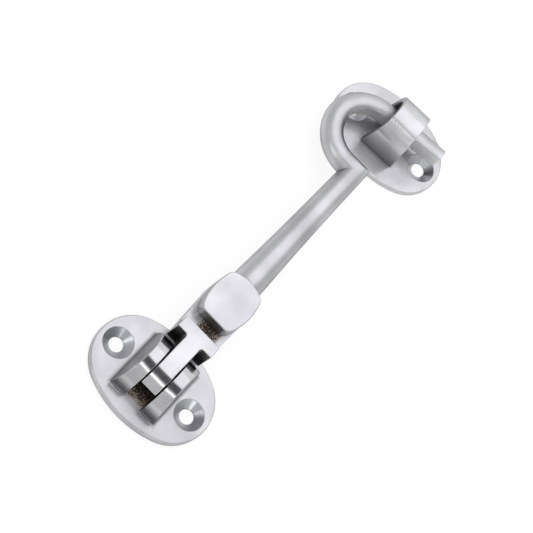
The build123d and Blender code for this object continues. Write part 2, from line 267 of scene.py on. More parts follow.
class CabinHookStudio(bpy.types.PropertyGroup):
    """Light, floor and camera."""
    wall: tint("Studio wall", "#DCDDDD", "Light from the studio's walls")
    flag: tint("Flags", "#5A5B5E", "Light from the dark cloths that reflections show")
    softbox_level: share("Softbox", 1.43, "Brightness of the softbox over the arm")
    softbox_tint: tint("Softbox tint", "#FBFAFF", "Cool tint of the softbox")
    softbox_place: point("Softbox place", (0.154, -0.02, 0.2), "Where the softbox hangs")
    softbox_size: area("Softbox size", (0.248, 0.28), "Length and width of the softbox")
    flag_place: point("Flag place", (-0.02, 0.0, 0.4), "Where the flag beside the camera hangs")
    flag_size: area("Flag size", (0.2, 0.4), "Length and width of the flag")
    strip_level: share("Strip light", 2.2, "Brightness of the strip light beside the camera")
    strip_size: area("Strip size", (0.04, 0.4), "Width and length of the strip light")
    side_level: share("Side lights", 2.0, "Brightness of the two lights beside the camera")
    side_place: point("Side light place", (0.25, 0.34, 0.265), "How far out, back and up each is")
    side_size: area("Side light size", (0.2, 0.15), "Width and height of a side light")
    far_level: share("Far light", 0.35, "Brightness of the light beyond the eye")
    far_place: point("Far light place", (0.4, 0.0, 0.155), "Where the light beyond the eye stands")
    far_size: area("Far light size", (0.25, 0.5), "Height and width of the light beyond the eye")
    fill_level: share("Fill light", 0.5, "Brightness of the light that reflections don't show")
    fill_height: size("Fill height", 1200.0, "From the floor to the fill light")
    fill_size: area("Fill size", (1.6, 1.6), "Length and width of the fill light")
    floor: tint("Floor", "#F4F4F4", "Paint of the floor")
    floor_glow: share("Floor white", 0.85, "Share of plain white that the floor shows")
    floor_reach: size("Floor reach", 3000.0, "From the floor's middle to its sides")
    floor_gap: size("Floor gap", 0.3, "From the floor up to the plates' backs")
    lens: FloatProperty(name="Lens", description="Focal length in millimetres", default=114.42)
    camera_azimuth: angle("Camera azimuth", 170.8, "Direction of the camera round the vertical")
    camera_tilt: angle("Camera tilt", 30.44, "Angle between the view and the vertical")
    camera_roll: angle("Camera roll", 54.14, "Turn of the picture about the view")
    camera_place: point("Camera place", (-0.188474, 0.037309, 0.411398), "Where the camera stands")


def only(kind, geometry):
    """The vertices, edges or faces among what an operator gives back."""
    return [g for g in geometry if isinstance(g, kind)]


def sweep(bm, start, arc):
    """Sweep a vertex round an arc's centre as far as its end and return the last vertex."""
    centre, end = Vector(arc.centre).to_3d(), Vector(arc.end).to_3d()
    reach, goal = start.co - centre, end - centre
    turn = math.atan2(reach.cross(goal).dot(arc.axis), reach.dot(goal))
    swept = bmesh.ops.spin(
        bm, geom=[start], cent=centre, axis=arc.axis, angle=turn, steps=arc.steps,
    )
    last = only(BMVert, swept["geom_last"])[0]
    miss = (last.co - end).length
    if miss > NEAR:
        raise RuntimeError(f"an arc ends {miss / MM:.3f} mm from its end point")
    return last


def trace(start, moves, closed=False):
    """Draw straight runs to points, and arcs, one after the other from a start."""
    bm = bmesh.new()
    first = last = bm.verts.new(Vector(start).to_3d())
    for move in moves:
        if isinstance(move, Arc):
            last = sweep(bm, last, move)
        else:
            end = bm.verts.new(Vector(move).to_3d())
            bm.edges.new((last, end))
            last = end
    if closed:
        bm.edges.new((last, first))
    return bm


def everything(bm):
    """All the vertices, edges and faces of a bmesh."""
    return bm.verts[:] + bm.edges[:] + bm.faces[:]


def mirror(bm, axis):
    """Add the mirror image of everything drawn so far."""
    bmesh.ops.mirror(bm, geom=everything(bm), matrix=Matrix(), merge_dist=MERGE, axis=axis)


def draw_out(bm, axis, low, high):
    """Fill the closed outline, draw it out between two levels and return the far vertices."""
    bmesh.ops.remove_doubles(bm, verts=bm.verts, dist=MERGE)
    outline = bmesh.ops.contextual_create(bm, geom=bm.edges[:])["faces"]
    bmesh.ops.translate(bm, verts=bm.verts, vec=axis * low)
    far = only(BMVert, bmesh.ops.extrude_face_region(bm, geom=outline)["geom"])
    bmesh.ops.translate(bm, verts=far, vec=axis * (high - low))
    bmesh.ops.recalc_face_normals(bm, faces=bm.faces)
    return far


def round_edges(bm, edges, width, segments):
    """Round edges by a width with a circular profile."""
    bmesh.ops.bevel(
        bm, geom=edges, offset=width, offset_type="OFFSET", affect="EDGES", segments=segments,
        profile=0.5, material=-1,
    )


def turned(foot, steps, profile):
    """A solid turned about the upright axis through a foot, from pairs of radius and height."""
    points = [foot + Vector((radius, 0, height)) for radius, height in profile]
    bm = trace(points[0], points[1:])
    bmesh.ops.spin(
        bm, geom=bm.verts[:] + bm.edges[:], cent=foot, axis=AXIS_Z, angle=math.tau, steps=steps,
        use_merge=True,
    )
    bmesh.ops.remove_doubles(bm, verts=bm.verts, dist=MERGE)
    bmesh.ops.recalc_face_normals(bm, faces=bm.faces)
    return bm


def as_object(name, bm):
    """Make an object at the origin from a finished bmesh."""
    bmesh.ops.recalc_face_normals(bm, faces=bm.faces)
    mesh = bpy.data.meshes.new(name)
    bm.to_mesh(mesh)
    bm.free()
    made = bpy.data.objects.new(name, mesh)
    bpy.context.scene.collection.objects.link(made)
    return made


def work(piece, operation, bm):
    """Join, cut or trim a piece with a tool shape, which is used up."""
    tool = as_object("tool", bm)
    step = piece.modifiers.new(operation, "BOOLEAN")
    step.operation = operation
    step.solver = "EXACT"
    step.object = tool
    ready = piece.evaluated_get(bpy.context.evaluated_depsgraph_get())
    worked = bpy.data.meshes.new_from_object(ready)
    if not worked.polygons:
        raise RuntimeError(f"{piece.name}: nothing is left after {operation}")
    piece.modifiers.clear()
    spent = (piece.data, tool.data)
    piece.data = worked
    bpy.data.objects.remove(tool)
    for mesh in spent:
        bpy.data.meshes.remove(mesh)
    worked.name = piece.name


def rod(start, end, radius, steps=48):
    """A round bar between two points, for boring a hole."""
    start = Vector(start)
    along = Vector(end) - start
    turn = AXIS_Z.rotation_difference(along).to_matrix().to_4x4()
    bm = bmesh.new()
    bmesh.ops.create_circle(bm, cap_ends=False, radius=radius, segments=steps)
    bmesh.ops.transform(bm, matrix=Matrix.Translation(start) @ turn, verts=bm.verts)
    draw_out(bm, along, 0, 1)
    return bm


def block(low, high):
    """A square block between two corners, for cutting."""
    low, high = Vector(low), Vector(high)
    bm = bmesh.new()
    bmesh.ops.create_cube(bm, size=1.0)
    bmesh.ops.scale(bm, vec=high - low, verts=bm.verts)
    bmesh.ops.translate(bm, vec=(low + high) / 2, verts=bm.verts)
    return bm


def plate_blank(plates):
    """Oval plate with a rounded front edge, its back on the wall."""
    half_length, half_width = plates.length / 2, plates.width / 2
    end_centre = half_length - plates.end_radius
    side_radius = half_width**2 - plates.end_radius**2 + end_centre**2
    side_radius /= 2 * (half_width - plates.end_radius)
    lean = math.atan2(end_centre, side_radius - half_width)
    join = Vector((math.cos(lean), math.sin(lean))) * plates.end_radius + Vector((0, end_centre))
    bm = trace((half_width, 0), (
        Arc((half_width - side_radius, 0), join, 16), Arc((0, end_centre), (0, half_length), 24),
    ))
    mirror(bm, "X")
    mirror(bm, "Y")
    draw_out(bm, AXIS_Z, 0, plates.thickness)
    middle = plates.thickness / 2
    front = [e for e in bm.edges if min(v.co.z for v in e.verts) > middle]
    back = [e for e in bm.edges if max(v.co.z for v in e.verts) < middle]
    round_edges(bm, front, plates.edge_round, 6)
    round_edges(bm, back, plates.back_round, 2)
    return bm


def countersink(plates, side):
    """Shape of one countersunk screw hole, cut right through the plate."""
    hole, rim = plates.hole / 2, plates.countersink / 2
    slope = math.tan(plates.countersink_angle / 2)
    above = plates.thickness + OVER
    return turned(AXIS_Y * (side * plates.screw_spacing / 2), 56, (
        (0, -OVER), (hole, -OVER), (hole, plates.thickness - (rim - hole) / slope),
        (rim + OVER * slope, above), (0, above),
    ))


def ear_pair(plates, ears):
    """Both half-round ears, drafted on their outsides, with a hollow foot rooted in the plate."""
    inner = ears.slot / 2
    foot_z = plates.thickness - ROOT
    centre = Vector((0, 0, ears.top - ears.radius))
    foot_x = math.sqrt(ears.radius**2 - (centre.z - foot_z) ** 2)
    draft = (ears.foot_width - ears.top_width) / 2 / (ears.top - plates.thickness)
    bm = trace((foot_x, 0, foot_z), (
        Arc(centre, (0, 0, ears.top), 28, AXIS_Y), Arc(centre, (-foot_x, 0, foot_z), 28, AXIS_Y),
    ), closed=True)
    outer = draw_out(bm, AXIS_Y, inner, ears.foot_width / 2)
    lean = Matrix.Identity(4)
    lean[1][2] = -draft
    lean[1][3] = draft * plates.thickness
    bmesh.ops.transform(bm, matrix=lean, verts=outer)
    crown = [
        e for e in bm.edges
        if min(v.co.y for v in e.verts) > inner + OVER
        and max(v.co.z for v in e.verts) > foot_z + MERGE
    ]
    round_edges(bm, crown, ears.edge_round, 4)
    hollow_foot(bm, plates, ears)
    mirror(bm, "Y")
    return bm


def hollow_foot(bm, plates, ears):
    """Spread an ear's outside into the plate by a hollow quarter round."""
    blend, rings = ears.foot_round, 7
    for ring in range(rings + 1):
        rise = blend * (1 - math.cos(math.pi / 2 * ring / rings))
        bmesh.ops.bisect_plane(
            bm, geom=everything(bm), dist=MERGE,
            plane_co=AXIS_Z * (plates.thickness + rise), plane_no=AXIS_Z,
        )
    for vert in bm.verts:
        rise = max(vert.co.z - plates.thickness, 0.0)
        if rise < blend and vert.co.y > ears.slot / 2 + OVER:
            spread = blend - math.sqrt(blend**2 - (blend - rise) ** 2)
            vert.co.x += math.copysign(spread, vert.co.x)
            vert.co.y += spread
    for vert in bm.verts:
        if abs(vert.co.z - plates.thickness) < MERGE:
            vert.co.z -= APART
    bmesh.ops.triangulate(bm, faces=bm.faces)


def nose_point(ears, link):
    """Lower corner of the tongue's rounded nose."""
    centre_z = ears.top - ears.radius
    up = Vector((-math.sin(link.nose_angle), 0, math.cos(link.nose_angle)))
    return AXIS_Z * centre_z + up * (link.top - centre_z)


def head_arcs(arm):
    """One side of the head's far half in plan, from its widest point round to the arm's line."""
    side_centre = Vector((arm.pin_x, arm.half_width - arm.side_radius))
    corner_y = math.sqrt(arm.side_radius**2 - arm.corner_x**2) + side_centre.y
    bow = arm.far - arm.corner_x
    far_radius = (corner_y**2 + bow**2) / (2 * bow)
    far_centre = Vector((arm.pin_x + arm.far - far_radius, 0))
    # The corner's own centre lies one corner radius inside both arcs
    reach_side = arm.side_radius - arm.corner_radius
    reach_far = far_radius - arm.corner_radius
    between = far_centre - side_centre
    along = (reach_side**2 - reach_far**2 + between.length_squared) / (2 * between.length)
    unit = between.normalized()
    aside = Vector((-unit.y, unit.x)) * math.sqrt(reach_side**2 - along**2)
    centres = [side_centre + unit * along + side * aside for side in (-1, 1)]
    corner = max(centres, key=lambda centre: centre.x)
    side_end = side_centre + (corner - side_centre).normalized() * arm.side_radius
    far_end = far_centre + (corner - far_centre).normalized() * far_radius
    return (
        Arc(side_centre, side_end, 8), Arc(corner, far_end, 8),
        Arc(far_centre, (arm.pin_x + arm.far, 0), 10),
    )


def link_blank(link):
    """Tongue and cross bar in plan, drawn out higher than the link."""
    tongue, bar = link.tongue / 2, link.bar_width / 2
    notch_x, notch_y = link.bar_near - link.bar_round, tongue + link.bar_round
    bm = trace((-link.top, 0), (
        (-link.top, tongue), (notch_x, tongue),
        Arc((notch_x, notch_y), (link.bar_near, notch_y), 6),
        (link.bar_near, bar), (link.bar_far, bar), (link.bar_far, 0),
    ))
    mirror(bm, "Y")
    draw_out(bm, AXIS_Z, -OVER, BLANK)
    return bm


def lug_blank(link, arm):
    """Lug that the arm's head laps over, drawn down past the link's underside."""
    start = link.bar_near + link.bar_round
    bm = trace((start, 0), (
        (start, link.bar_width / 2), (arm.pin_x, arm.half_width), *head_arcs(arm),
    ))
    mirror(bm, "Y")
    draw_out(bm, AXIS_Z, -OVER, link.lap)
    return bm


def link_side(ears, link):
    """Side view of the link, wider than the link, to trim its blank by."""
    pin = AXIS_Z * ears.pin_height
    nose = nose_point(ears, link)
    spoke = nose - pin
    heel_angle = math.atan2(spoke.z, spoke.x) + math.acos(link.eye_radius / spoke.length)
    heel = pin + Vector((math.cos(heel_angle), 0, math.sin(heel_angle))) * link.eye_radius
    bottom = ears.pin_height - link.eye_radius
    bm = trace((0, 0, link.top), (
        Arc((0, 0, ears.top - ears.radius), nose, 14, AXIS_Y), heel,
        Arc(pin, (0, 0, bottom), 14, AXIS_Y), (3 * CLEAR, 0, bottom), (3 * CLEAR, 0, link.top),
    ), closed=True)
    draw_out(bm, AXIS_Y, -CLEAR, CLEAR)
    return bm


def pin_seat(link, ears, arm):
    """Hole and countersink for the swing pin, from under the lug."""
    bottom = ears.pin_height - link.eye_radius
    hole, rim = arm.pin / 2 + link.play, arm.pin_head / 2 + link.play
    return turned(AXIS_X * arm.pin_x, 48, (
        (0, bottom - OVER), (rim + OVER, bottom - OVER), (hole, bottom + rim - hole),
        (hole, link.top), (0, link.top),
    ))


def head_blank(link, arm):
    """The arm's flat head with its rounded corners, and waste under it to cut away."""
    low = arm.bottom - ROOT
    side_centre = Vector((arm.pin_x, arm.half_width - arm.side_radius))
    near_x = arm.pin_x - arm.near
    inset = arm.near - arm.corner_radius
    reach = arm.side_radius - arm.corner_radius
    corner = Vector((arm.pin_x - inset, side_centre.y + math.sqrt(reach**2 - inset**2)))
    side_start = side_centre + (corner - side_centre).normalized() * arm.side_radius
    bm = trace((near_x, 0), (
        (near_x, corner.y), Arc(corner, side_start, 10),
        Arc(side_centre, (arm.pin_x, arm.half_width), 8), *head_arcs(arm),
    ))
    mirror(bm, "Y")
    draw_out(bm, AXIS_Z, low, link.top)
    rim = [e for e in bm.edges if min(v.co.z for v in e.verts) > low + OVER]
    round_edges(bm, rim, arm.edge_round, 4)
    return bm


def about(centre, matrix):
    """A matrix that acts about a centre."""
    return Matrix.Translation(centre) @ matrix @ Matrix.Translation(-centre)


def shank_and_hook(arm):
    """The arm as one tube: tapered shank, mitred elbow, leg, bend and tip."""
    # Distance from the base pin and radius along the shank, in millimetres
    stations = (
        (33.0, 4.8), (38.0, 4.7), (41.0, 4.6), (46.0, 4.42), (51.0, 4.25), (56.0, 4.1),
        (61.0, 3.98), (66.0, 3.88), (72.0, 3.78), (78.0, 3.7),
    )
    stations = [(x * MM, r * MM) for x, r in stations] + [(arm.elbow_x, arm.elbow_radius)]
    bend_steps, tip_steps = 40, 6
    start, radius = stations[0]
    centre = Vector((start, 0, arm.height))
    upright = Matrix.Translation(centre) @ Matrix.Rotation(math.pi / 2, 4, "Y")
    bm = bmesh.new()
    bmesh.ops.create_circle(bm, cap_ends=False, radius=radius, segments=64)
    bmesh.ops.transform(bm, matrix=upright, verts=bm.verts)
    ring = bm.edges[:]
    bmesh.ops.contextual_create(bm, geom=ring)

    def draw_on(move, next_radius):
        """Draw the tube's open end on to its next ring."""
        nonlocal ring, centre, radius
        grow = about(centre, Matrix.Scale(next_radius / radius, 4))
        drawn = bmesh.ops.extrude_edge_only(bm, edges=ring)["geom"]
        bmesh.ops.transform(bm, matrix=move @ grow, verts=only(BMVert, drawn))
        ring, centre, radius = only(BMEdge, drawn), move @ centre, next_radius

    for x, station_radius in stations[1:]:
        draw_on(Matrix.Translation((x - centre.x, 0, 0)), station_radius)
    mitre = Matrix.Identity(4)
    mitre[0][1] = -1.0
    elbow = list({v for e in ring for v in e.verts})
    bmesh.ops.transform(bm, matrix=about(centre, mitre), verts=elbow)
    # The leg's first ring lies flat where the bend begins, and the tube thins evenly from there on
    flatten = Matrix.Identity(4)
    flatten[1][1] = 0.0
    flatten[1][3] = arm.bend_start
    draw_on(flatten, arm.leg_radius)
    bend = math.pi - arm.tip_splay
    bend_step, tip_step = bend * arm.bend_radius / bend_steps, arm.tip_length / tip_steps
    turning = about(
        Vector((arm.elbow_x + arm.bend_radius, arm.bend_start, arm.height)),
        Matrix.Rotation(-bend / bend_steps, 4, "Z"),
    )
    along = Vector((math.sin(arm.tip_splay), -math.cos(arm.tip_splay), 0))
    straight = Matrix.Translation(along * tip_step)
    thinning = (arm.tip_radius - arm.leg_radius) / (bend * arm.bend_radius + arm.tip_length)
    for steps, move, length in ((bend_steps, turning, bend_step), (tip_steps, straight, tip_step)):
        for _ in range(steps):
            draw_on(move, radius + thinning * length)
    bmesh.ops.contextual_create(bm, geom=ring)
    bmesh.ops.remove_doubles(bm, verts=bm.verts, dist=MERGE)
    return bm


def hook_flat(arm):
    """Shape that cuts the flat along the inside of the bend and the tip."""
    centre = Vector((arm.elbow_x + arm.bend_radius + arm.flat_shift, arm.bend_start))
    lean = Vector((math.cos(arm.flat_splay), math.sin(arm.flat_splay)))
    start = centre + lean * arm.flat_radius
    end = start + Vector((lean.y, -lean.x)) * (arm.tip_length + arm.bend_radius)
    quarters = [centre + Vector(side) * arm.flat_radius for side in ((0, 1), (-1, 0), (0, -1))]
    bm = trace(start, (
        *[Arc(centre, quarter, 28) for quarter in quarters], (centre.x, end.y), end,
    ), closed=True)
    draw_out(bm, AXIS_Z, -OVER, CLEAR)
    return bm


def elbow_corner(arm):
    """Shape that rounds the elbow's outer corner in plan."""
    outward = Vector((1, -1))
    corner = Vector((arm.elbow_x, 0)) + outward * arm.elbow_radius
    # The arc starts just clear of the tube, so that it leaves no step where it meets the side
    centre = corner - outward * (arm.elbow_round - APART)
    start = centre - Vector((0, arm.elbow_round))
    end = centre + Vector((arm.elbow_round, 0))
    bm = trace(start, (
        Arc(centre, end, 8), end + Vector((OVER, 0)), corner + outward * OVER,
        start - Vector((0, OVER)),
    ), closed=True)
    draw_out(bm, AXIS_Z, -OVER, CLEAR)
    return bm


def staple_band(plates, band):
    """The eye's arched band, tapered towards its crown and rooted in the plate."""
    foot = plates.thickness - ROOT
    leg = AXIS_Z * (band.crown_centre - foot)
    bm = bmesh.new()
    bmesh.ops.create_grid(bm, x_segments=1, y_segments=4, size=0.5)
    bmesh.ops.scale(bm, vec=(band.thickness, 1.0, 1.0), verts=bm.verts)
    middle = band.outer_radius - band.thickness / 2
    bmesh.ops.translate(bm, vec=(middle, 0, foot), verts=bm.verts)
    up = bmesh.ops.extrude_face_region(bm, geom=bm.faces[:])["geom"]
    bmesh.ops.translate(bm, vec=leg, verts=only(BMVert, up))
    top = only(BMFace, up)
    arch = bmesh.ops.spin(
        bm, geom=top, cent=AXIS_Z * band.crown_centre, axis=-AXIS_Y, angle=math.pi, steps=44,
    )["geom_last"]
    end = only(BMFace, arch)
    down = bmesh.ops.extrude_face_region(bm, geom=end)["geom"]
    bmesh.ops.translate(bm, vec=-leg, verts=only(BMVert, down))
    # The sections that the arch was drawn between would be left as walls inside the band
    bmesh.ops.delete(bm, geom=[f for f in top + end if f.is_valid], context="FACES_ONLY")
    for vert in bm.verts:
        rise = (vert.co.z - plates.thickness) / (band.taper_top - plates.thickness)
        taper = (band.crown_width - band.foot_width) * min(max(rise, 0.0), 1.0)
        vert.co.y *= band.foot_width + taper
    bmesh.ops.remove_doubles(bm, verts=bm.verts, dist=MERGE)
    bmesh.ops.recalc_face_normals(bm, faces=bm.faces)
    rims = [
        e for e in bm.edges
        if len(e.link_faces) == 2 and e.calc_face_angle() > SHARP
        and max(v.co.z for v in e.verts) > foot + MERGE
    ]
    round_edges(bm, rims, band.edge_round, 3)
    return bm


def soften(piece, width, crisp=None):
    """Round the edges that are left sharp, as a polishing wheel does, but for a crisp corner."""
    bm = bmesh.new()
    bm.from_mesh(piece.data)
    bmesh.ops.remove_doubles(bm, verts=bm.verts, dist=HAIR)
    bmesh.ops.dissolve_degenerate(bm, edges=bm.edges, dist=HAIR)
    weight = bm.edges.layers.float.new("bevel_weight_edge")
    for edge in bm.edges:
        if len(edge.link_faces) != 2 or edge.calc_face_angle() < SHARP:
            continue
        middle = (edge.verts[0].co + edge.verts[1].co) / 2
        edge.smooth = not (crisp and crisp(middle))
        edge[weight] = float(edge.smooth)
    bm.to_mesh(piece.data)
    bm.free()
    for face in piece.data.polygons:
        face.use_smooth = True
    rounding = piece.modifiers.new("polished_edges", "BEVEL")
    rounding.width = width
    rounding.segments = 3
    rounding.profile = 0.5
    rounding.limit_method = "WEIGHT"
    rounding.use_clamp_overlap = False
    rounding.harden_normals = True
    rounding.material = -1
    joined = piece.modifiers.new("joined_points", "WELD")
    joined.merge_threshold = MERGE
    flats = piece.modifiers.new("flat_faces", "WEIGHTED_NORMAL")
    flats.keep_sharp = True


def finish_faces(piece, finishes, choose):
    """Give each face of a piece the finish that its place calls for."""
    for material in finishes.values():
        piece.data.materials.append(material)
    order = list(finishes)
    for face in piece.data.polygons:
        face.material_index = order.index(choose(face))


def add_node(tree, kind, inputs=None, out=None, **settings):
    """Add one node, set or link its inputs, and return one of its outputs or the node itself."""
    node = tree.nodes.new(kind)
    for name, value in settings.items():
        setattr(node, name, value)
    for socket, value in (inputs or {}).items():
        if isinstance(value, bpy.types.NodeSocket):
            tree.links.new(value, node.inputs[socket])
        else:
            node.inputs[socket].default_value = value
    return node if out is None else node.outputs[out]


def new_material(name):
    """An empty node material, and what adds a node to it."""
    material = bpy.data.materials.new(name)
    material.use_nodes = True
    material.node_tree.nodes.clear()
    return material, partial(add_node, material.node_tree)


def satin_chrome(
    name, finish, turn, roughness, shade_within, foot=None, foot_shade_lift=None, tones=None, metal=1.0,
):
    """Satin chrome plate: cast brass linished in one direction, then nickel and chrome plated.

    The eye sees a pale, slightly cool grey with soft reflections, drawn out by fine lines that run
    with the linishing belt, and faint clouds where the buffing was heavier. Painted shade darkens
    the colour in inner corners and, on raised forms, towards the foot.
    """
    deep, light = tones or (finish.chrome_deep, finish.chrome_light)
    material, add = new_material(name)
    place = add("ShaderNodeTexCoord", out="Object")
    # Belt lines are about 0.05 mm wide, and are drawn at 0.25 mm so that they show from here
    line_width, line_length, cloud = 0.25 * MM, 9.0 * MM, 11.0 * MM
    belt = add("ShaderNodeMapping", {
        "Vector": place, "Rotation": (0.0, 0.0, turn),
        "Scale": (1 / line_length, 1 / line_width, 1 / line_width),
    }, "Vector")
    lines = add("ShaderNodeTexNoise", {
        "Vector": belt, "Scale": 1.0, "Detail": 3.0, "Roughness": 0.6,
    }, "Fac")
    clouds = add("ShaderNodeTexNoise", {
        "Vector": place, "Scale": 1 / cloud, "Detail": 2.0, "Roughness": 0.5,
    }, "Fac")
    wear = add("ShaderNodeMath", {0: lines, 1: 0.2, 2: clouds}, "Value", operation="MULTIPLY_ADD")
    spread = add("ShaderNodeMapRange", {
        "Value": wear, "From Min": 0.42, "From Max": 0.78,
    }, "Result")
    buffed = add("ShaderNodeMix", {
        MIX_FACTOR: spread, MIX_A: deep, MIX_B: light,
    }, MIX_RESULT, data_type="RGBA")
    # Painted shade: the colour darkens towards an inner corner, over the distance that the ambient
    # occlusion looks
    open_sky = add("ShaderNodeAmbientOcclusion", {
        "Distance": shade_within,
    }, "AO", samples=8, only_local=True)
    unshaded = add("ShaderNodeMapRange", {
        "Value": open_sky, "From Min": 0.3, "From Max": 0.92,
    }, "Result", interpolation_type="SMOOTHSTEP")
    if foot:
        # Painted shade: a raised form darkens from a given height down towards where it meets the
        # plate
        height = add("ShaderNodeSeparateXYZ", {"Vector": place}, "Z")
        low, high, least = foot
        risen = add("ShaderNodeMapRange", {
            "Value": height, "From Min": low, "From Max": high, "To Min": least,
        }, "Result", interpolation_type="SMOOTHSTEP")
        if foot_shade_lift:
            # The painted shade lightens again at the very foot, next to the plate
            low, high = foot_shade_lift
            rub_and_shade_lift = add("ShaderNodeMapRange", {
                "Value": height, "From Min": low, "From Max": high, "To Min": 0.9, "To Max": 0.0,
            }, "Result", interpolation_type="SMOOTHSTEP")
            risen = add("ShaderNodeMath", {0: risen, 1: rub_and_shade_lift}, "Value", operation="MAXIMUM")
        unshaded = add("ShaderNodeMath", {0: unshaded, 1: risen}, "Value", operation="MULTIPLY")
    colour = add("ShaderNodeMix", {
        MIX_FACTOR: unshaded, MIX_A: finish.chrome_shade, MIX_B: buffed,
    }, MIX_RESULT, data_type="RGBA")
    satin = add("ShaderNodeMapRange", {
        "Value": lines, "From Min": 0.25, "From Max": 0.75,
        "To Min": roughness * 0.95, "To Max": roughness * 1.08,
    }, "Result")
    rougher_in_shade = add("ShaderNodeMapRange", {"Value": unshaded, "To Min": 0.3, "To Max": 0.0}, "Result")
    gloss = add("ShaderNodeMath", {0: satin, 1: rougher_in_shade}, "Value", operation="ADD")
    grain = add("ShaderNodeBump", {
        "Height": lines, "Strength": 0.002, "Distance": 0.02 * MM,
    }, "Normal")
    shader = add("ShaderNodeBsdfPrincipled", {
        "Base Color": colour, "Roughness": gloss, "Normal": grain, "Metallic": metal,
        "Specular Tint": finish.chrome_edge,
    }, "BSDF")
    add("ShaderNodeOutputMaterial", {"Surface": shader})
    return material


def turned_countersink(name, plates, finish, place_of_plate, turn):
    """Countersink cut after casting with a turning cutter, then plated.

    The eye sees a darker cone than the polished face, with fine rings and bright wedges that run
    out from the hole where the rings catch a light. The wedges are partly a painted highlight,
    lighter colour drawn by a noise round the hole, and partly the anisotropic reflection.
    """
    material, add = new_material(name)
    place = add("ShaderNodeTexCoord", out="Object")
    # Both holes lie at the same distance from the plate's middle, so one pattern serves both
    local = add("ShaderNodeMapping", {
        "Vector": place, "Location": place_of_plate, "Rotation": (0.0, 0.0, turn),
    }, "Vector", vector_type="TEXTURE")
    parts = add("ShaderNodeSeparateXYZ", {"Vector": local}).outputs
    away = add("ShaderNodeMath", {0: parts["Y"]}, "Value", operation="ABSOLUTE")
    offset = add("ShaderNodeMath", {
        0: away, 1: plates.screw_spacing / 2,
    }, "Value", operation="SUBTRACT")
    centred = add("ShaderNodeCombineXYZ", {"X": parts["X"], "Y": offset}, "Vector")
    radius = add("ShaderNodeVectorMath", {0: centred}, "Value", operation="LENGTH")
    # Tool marks are about 0.1 mm apart, and are drawn at 0.4 mm so that they show from here
    pitch = 0.4 * MM
    turns = add("ShaderNodeMath", {0: radius, 1: 1 / pitch}, "Value", operation="MULTIPLY")
    rings = add("ShaderNodeTexNoise", {
        "W": turns, "Scale": 1.0, "Detail": 3.0, "Roughness": 0.7,
    }, "Fac", noise_dimensions="1D")
    round_hole = add("ShaderNodeVectorMath", {0: centred}, "Vector", operation="NORMALIZE")
    # Painted highlight: a noise over the direction round the hole lightens the colour in wedges
    wedge_sheen = add("ShaderNodeTexNoise", {
        "Vector": round_hole, "Scale": 5.0, "Detail": 2.0, "Roughness": 0.6,
    }, "Fac")
    mixed = add("ShaderNodeMath", {0: rings, 1: wedge_sheen}, "Value", operation="MULTIPLY")
    spread = add("ShaderNodeMapRange", {
        "Value": mixed, "From Min": 0.12, "From Max": 0.4,
    }, "Result")
    colour = add("ShaderNodeMix", {
        MIX_FACTOR: spread, MIX_A: scaled(finish.cut_chrome, 0.75), MIX_B: finish.cut_chrome,
    }, MIX_RESULT, data_type="RGBA")
    marks = add("ShaderNodeBump", {
        "Height": rings, "Strength": 0.15, "Distance": 0.03 * MM,
    }, "Normal")
    outward = add("ShaderNodeVectorTransform", {
        "Vector": round_hole,
    }, "Vector", vector_type="VECTOR", convert_from="OBJECT", convert_to="WORLD")
    shader = add("ShaderNodeBsdfPrincipled", {
        "Base Color": colour, "Normal": marks, "Tangent": outward, "Metallic": 1.0,
        "Roughness": 0.3, "Anisotropic": 0.4,
    }, "BSDF")
    add("ShaderNodeOutputMaterial", {"Surface": shader})
    return material


